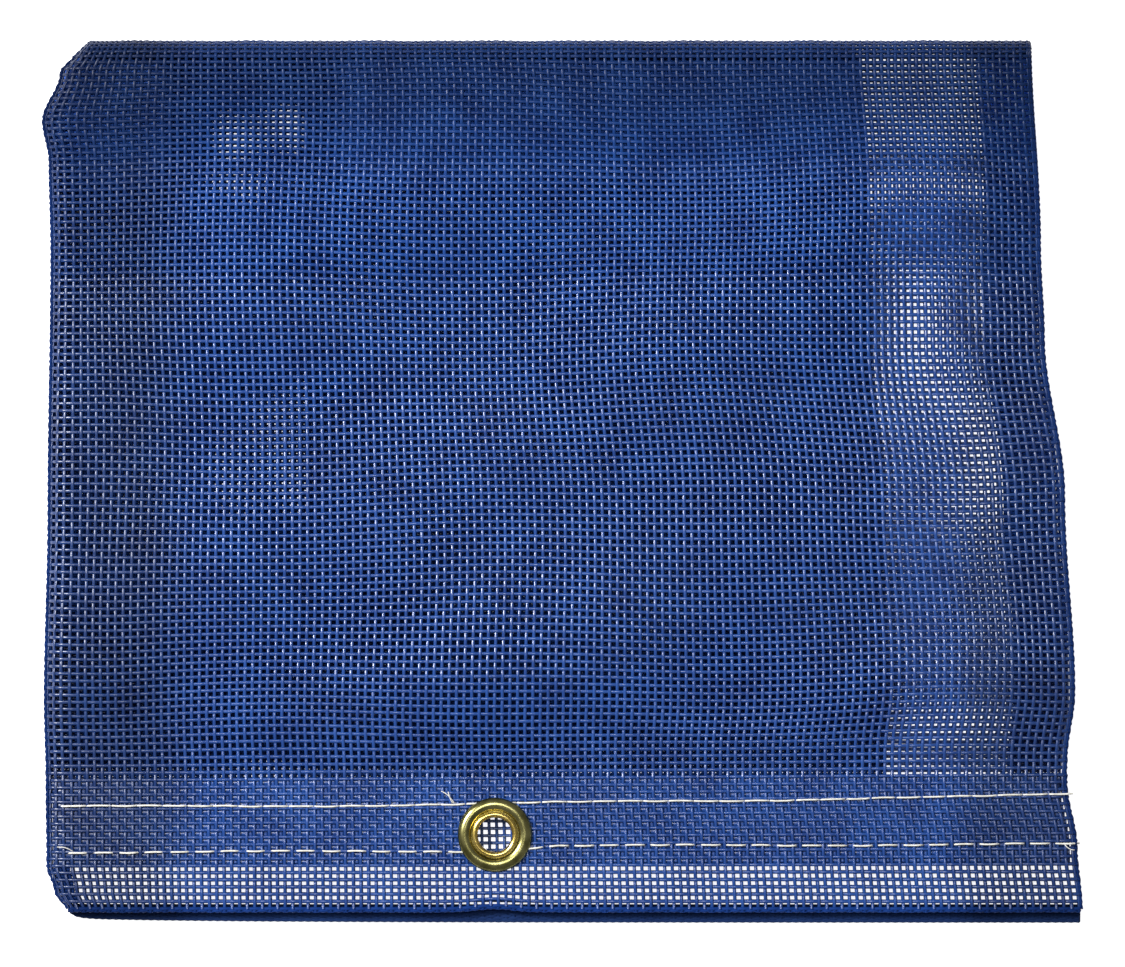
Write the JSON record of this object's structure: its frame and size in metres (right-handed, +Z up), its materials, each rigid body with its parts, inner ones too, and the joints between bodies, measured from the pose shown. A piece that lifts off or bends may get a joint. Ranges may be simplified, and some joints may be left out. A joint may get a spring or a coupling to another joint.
{
  "type": "folded mesh welding curtain",
  "caption": "Blue open-weave coated mesh welding curtain, folded into a flat pack, with a sewn double hem along one side and a brass eyelet in it.",
  "frame": {"origin": "centre of the underside of the folded pack", "axes": "+X along the hem to the right as seen from above, +Y from the hem to the top fold, +Z up"},
  "size_m": [0.284, 0.244, 0.0094],
  "materials": {
    "mesh": "vinyl-coated woven yarn, satin",
    "thread": "off-white sewing thread",
    "brass_roll": "polished brass",
    "brass_washer": "brass with an olive antique tint, polished"
  },
  "bodies": {
    "pack": {"top_fold_outer": "mesh", "top_fold_flap": "mesh", "top_fold_right_edge": "mesh", "back_panel": "mesh", "bottom_fold": "mesh", "turn_up": "mesh", "back_left_fold": "mesh", "back_left_flap": "mesh", "back_right_turn_up": "mesh"},
    "front_flap": {"front_panel": "mesh", "hem_front_ply": "mesh", "hem_bottom_fold": "mesh", "hem_back_ply": "mesh", "hem_turned_in_ply": "mesh", "front_left_fold": "mesh", "front_left_flap": "mesh", "front_right_turn_under": "mesh", "needle_thread_upper": "thread", "needle_thread_lower": "thread", "bobbin_thread_upper": "thread", "bobbin_thread_lower": "thread", "grommet": "brass_roll", "grommet_washer": "brass_washer"}
  },
  "joints": [
    {"name": "front_opens", "type": "hinge", "parent": "pack", "child": "front_flap", "pos_m": [0, 0.122, 0.0047], "axis": [-1, 0, 0], "range_deg": [0, 180], "deforming": ["top_fold_outer", "top_fold_flap", "top_fold_right_edge"]}
  ]
}
